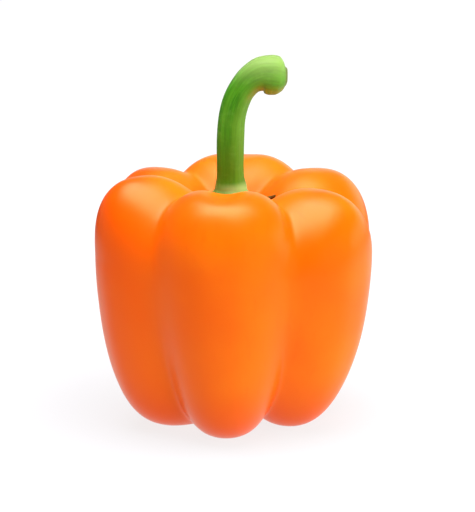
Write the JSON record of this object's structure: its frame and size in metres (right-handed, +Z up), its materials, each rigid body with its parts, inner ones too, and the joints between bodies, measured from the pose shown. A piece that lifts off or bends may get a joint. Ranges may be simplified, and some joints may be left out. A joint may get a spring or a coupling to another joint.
{
  "type": "bell pepper",
  "caption": "Whole orange bell pepper, lobed and glossy, standing on its feet with its green calyx and bent stem.",
  "frame": {"origin": "on the surface that the pepper stands on, under the middle of its outline seen from above", "axes": "+Z up along the fruit, -Y towards the front of the picture, +X to the right, the way the stem bends"},
  "size_m": [0.0889, 0.0898, 0.1187],
  "materials": {
    "skin": "smooth waxy pepper skin, glossy, orange with faint lengthwise streaks",
    "stem": "ribbed green plant stem, satin, brown and dry at the cut and at the tips of the calyx"
  },
  "bodies": {
    "root": {"fruit": "skin", "stem_and_calyx": "stem"}
  },
  "joints": []
}
